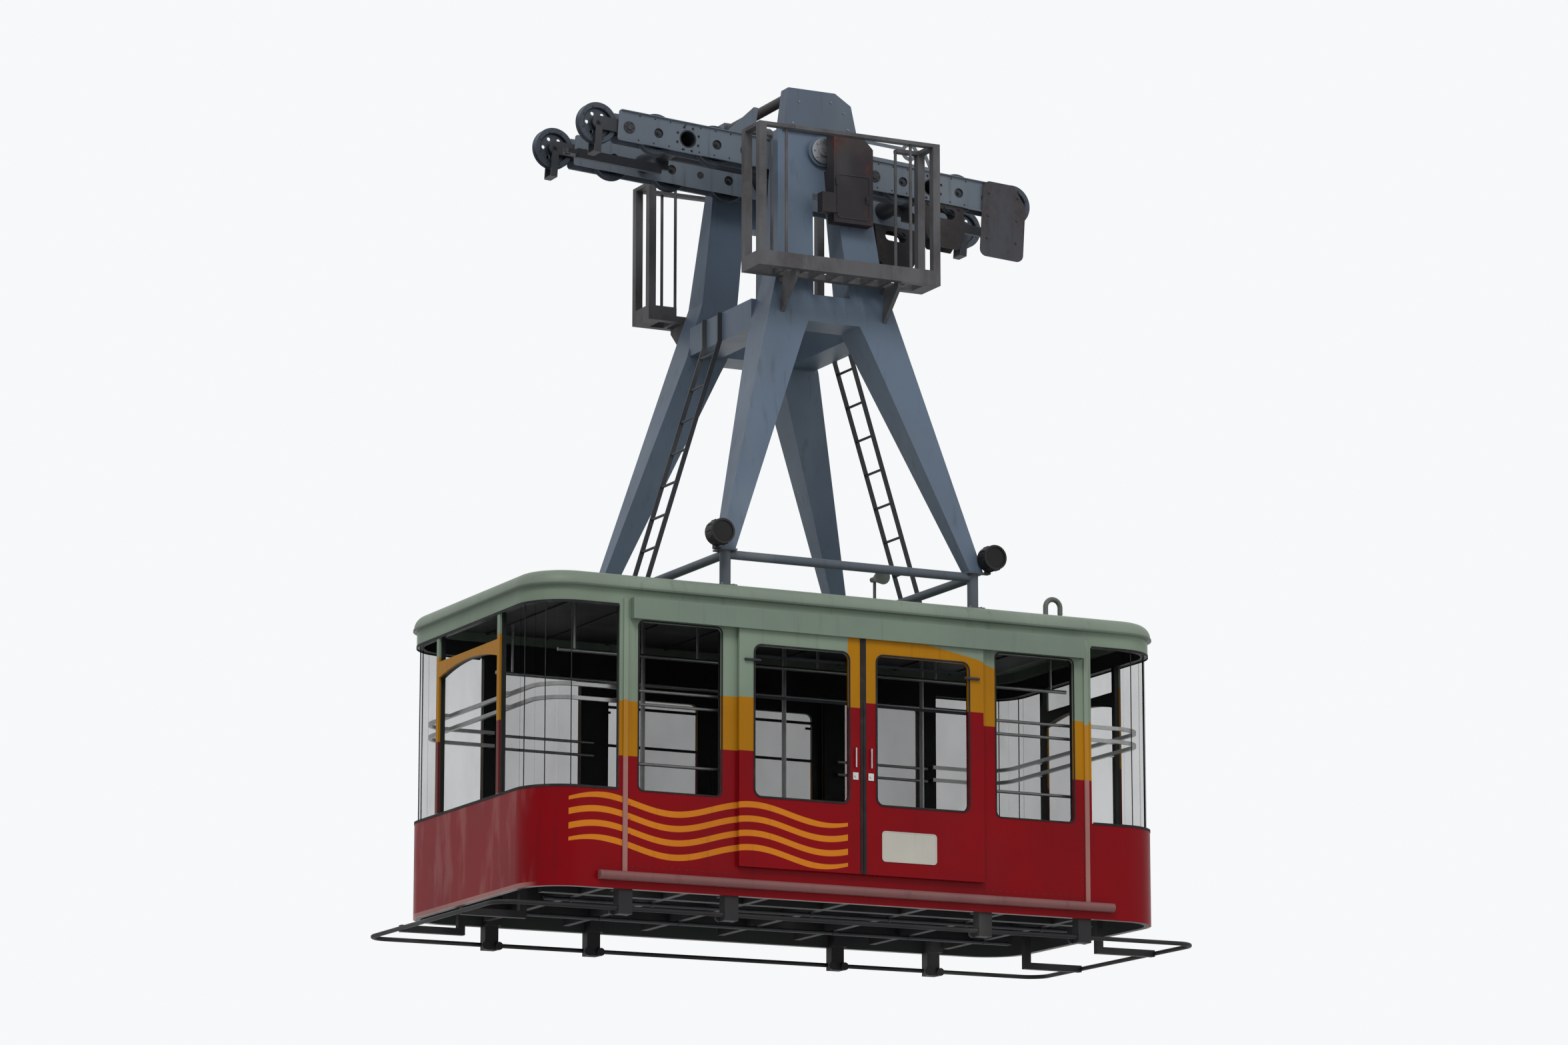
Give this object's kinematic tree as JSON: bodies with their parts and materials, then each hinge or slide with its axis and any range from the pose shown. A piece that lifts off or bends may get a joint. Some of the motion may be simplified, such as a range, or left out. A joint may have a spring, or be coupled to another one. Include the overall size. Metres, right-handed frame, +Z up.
{
  "type": "cable car cabin",
  "caption": "Reversible ropeway passenger cabin: hollow glazed body on an A-frame hanger under a track-rope carriage with grooved wheels.",
  "frame": {"origin": "midway between the two track ropes, at their height, under the middle of the carriage", "axes": "+X along the ropes towards the end that rides lower, +Z up, -Y towards the side with the control box"},
  "size_m": [6.3759, 2.91, 7.161],
  "materials": {
    "carriage_grey": "satin",
    "carriage_dark": "satin",
    "axle_steel": "satin",
    "rusty_plate": "matte",
    "hanger_grey": "satin",
    "frame_dark": "satin",
    "platform_brown": "matte",
    "box_brown": "matte",
    "lamp_black": "satin",
    "pale_trim": "satin",
    "sage_paint": "satin",
    "red_paint": "gloss",
    "window_glass": "gloss",
    "floor_rubber": "matte",
    "underframe_black": "matte",
    "step_alloy": "satin",
    "rail_alloy": "satin",
    "wheel_steel": "satin"
  },
  "bodies": {
    "carriage": {"carriage_side_beams": "carriage_grey", "carriage_cross_frame": "carriage_dark", "haul_rope_lugs": "axle_steel", "wheel_trucks": "carriage_dark", "wheel_axles": "axle_steel", "end_guard": "rusty_plate", "rope_catchers": "carriage_dark", "rope_brakes": "rusty_plate", "carriage_top_gear": "carriage_grey"},
    "wheel_1_body": {"wheel_1": "wheel_steel"},
    "wheel_2_body": {"wheel_2": "wheel_steel"},
    "wheel_3_body": {"wheel_3": "wheel_steel"},
    "wheel_4_body": {"wheel_4": "wheel_steel"},
    "wheel_5_body": {"wheel_5": "wheel_steel"},
    "wheel_6_body": {"wheel_6": "wheel_steel"},
    "wheel_7_body": {"wheel_7": "wheel_steel"},
    "wheel_8_body": {"wheel_8": "wheel_steel"},
    "wheel_9_body": {"wheel_9": "wheel_steel"},
    "wheel_10_body": {"wheel_10": "wheel_steel"},
    "wheel_11_body": {"wheel_11": "wheel_steel"},
    "wheel_12_body": {"wheel_12": "wheel_steel"},
    "wheel_13_body": {"wheel_13": "wheel_steel"},
    "wheel_14_body": {"wheel_14": "wheel_steel"},
    "wheel_15_body": {"wheel_15": "wheel_steel"},
    "wheel_16_body": {"wheel_16": "wheel_steel"},
    "cabin": {"hanger_portal_near": "hanger_grey", "hanger_portal_far": "hanger_grey", "hanger_cross_girders": "hanger_grey", "hanger_head": "hanger_grey", "pivot_shaft": "axle_steel", "service_platform_near": "platform_brown", "service_platform_far": "platform_brown", "control_box": "box_brown", "ladders": "frame_dark", "roof_frame": "frame_dark", "floodlights": "lamp_black", "roof_fittings": "pale_trim", "cabin_roof": "sage_paint", "side_wall_near": "red_paint", "side_wall_far": "red_paint", "end_wall_front": "red_paint", "end_wall_rear": "red_paint", "corner_windows": "window_glass", "end_windows": "window_glass", "side_windows": "window_glass", "cabin_floor": "floor_rubber", "underframe": "underframe_black", "joint_strips": "sage_paint", "door_fascias": "sage_paint", "step_rails": "step_alloy", "grab_rails": "rail_alloy", "bumper_frame": "underframe_black"},
    "door_near_front": {"door_leaf_near_front": "red_paint", "door_leaf_near_front_glass": "window_glass"},
    "door_near_rear": {"door_leaf_near_rear": "red_paint", "door_leaf_near_rear_glass": "window_glass"},
    "door_far_front": {"door_leaf_far_front": "red_paint", "door_leaf_far_front_glass": "window_glass"},
    "door_far_rear": {"door_leaf_far_rear": "red_paint", "door_leaf_far_rear_glass": "window_glass"}
  },
  "joints": [
    {"name": "wheel_1_spin", "type": "hinge", "parent": "carriage", "child": "wheel_1_body", "pos_m": [-1.94572, -0.44, 0.29333], "axis": [0, 1, 0], "continuous": true},
    {"name": "wheel_2_spin", "type": "hinge", "parent": "carriage", "child": "wheel_2_body", "pos_m": [-1.40673, -0.44, 0.26036], "axis": [0, 1, 0], "continuous": true},
    {"name": "wheel_3_spin", "type": "hinge", "parent": "carriage", "child": "wheel_3_body", "pos_m": [-0.86774, -0.44, 0.2274], "axis": [0, 1, 0], "continuous": true},
    {"name": "wheel_4_spin", "type": "hinge", "parent": "carriage", "child": "wheel_4_body", "pos_m": [-0.32874, -0.44, 0.19443], "axis": [0, 1, 0], "continuous": true},
    {"name": "wheel_5_spin", "type": "hinge", "parent": "carriage", "child": "wheel_5_body", "pos_m": [0.34999, -0.44, 0.15292], "axis": [0, 1, 0], "continuous": true},
    {"name": "wheel_6_spin", "type": "hinge", "parent": "carriage", "child": "wheel_6_body", "pos_m": [0.88898, -0.44, 0.11995], "axis": [0, 1, 0], "continuous": true},
    {"name": "wheel_7_spin", "type": "hinge", "parent": "carriage", "child": "wheel_7_body", "pos_m": [1.42797, -0.44, 0.08699], "axis": [0, 1, 0], "continuous": true},
    {"name": "wheel_8_spin", "type": "hinge", "parent": "carriage", "child": "wheel_8_body", "pos_m": [1.96697, -0.44, 0.05402], "axis": [0, 1, 0], "continuous": true},
    {"name": "wheel_9_spin", "type": "hinge", "parent": "carriage", "child": "wheel_9_body", "pos_m": [-1.94572, 0.44, 0.29333], "axis": [0, 1, 0], "continuous": true},
    {"name": "wheel_10_spin", "type": "hinge", "parent": "carriage", "child": "wheel_10_body", "pos_m": [-1.40673, 0.44, 0.26036], "axis": [0, 1, 0], "continuous": true},
    {"name": "wheel_11_spin", "type": "hinge", "parent": "carriage", "child": "wheel_11_body", "pos_m": [-0.86774, 0.44, 0.2274], "axis": [0, 1, 0], "continuous": true},
    {"name": "wheel_12_spin", "type": "hinge", "parent": "carriage", "child": "wheel_12_body", "pos_m": [-0.32874, 0.44, 0.19443], "axis": [0, 1, 0], "continuous": true},
    {"name": "wheel_13_spin", "type": "hinge", "parent": "carriage", "child": "wheel_13_body", "pos_m": [0.34999, 0.44, 0.15292], "axis": [0, 1, 0], "continuous": true},
    {"name": "wheel_14_spin", "type": "hinge", "parent": "carriage", "child": "wheel_14_body", "pos_m": [0.88898, 0.44, 0.11995], "axis": [0, 1, 0], "continuous": true},
    {"name": "wheel_15_spin", "type": "hinge", "parent": "carriage", "child": "wheel_15_body", "pos_m": [1.42797, 0.44, 0.08699], "axis": [0, 1, 0], "continuous": true},
    {"name": "wheel_16_spin", "type": "hinge", "parent": "carriage", "child": "wheel_16_body", "pos_m": [1.96697, 0.44, 0.05402], "axis": [0, 1, 0], "continuous": true},
    {"name": "cabin_swing", "type": "hinge", "parent": "carriage", "child": "cabin", "pos_m": [0.01374, 0, 0.22458], "axis": [0, 1, 0], "range_deg": [-25, 25]},
    {"name": "door_near_front_slide", "type": "slide", "parent": "cabin", "child": "door_near_front", "axis": [-1, 0, 0], "range_m": [0, 0.93]},
    {"name": "door_near_rear_slide", "type": "slide", "parent": "cabin", "child": "door_near_rear", "axis": [1, 0, 0], "range_m": [0, 0.93]},
    {"name": "door_far_front_slide", "type": "slide", "parent": "cabin", "child": "door_far_front", "axis": [-1, 0, 0], "range_m": [0, 0.93]},
    {"name": "door_far_rear_slide", "type": "slide", "parent": "cabin", "child": "door_far_rear", "axis": [1, 0, 0], "range_m": [0, 0.93]}
  ],
  "couplings": [
    {"joint": "door_near_front_slide", "follows": "door_near_rear_slide", "ratio": 1},
    {"joint": "door_far_front_slide", "follows": "door_far_rear_slide", "ratio": 1}
  ]
}
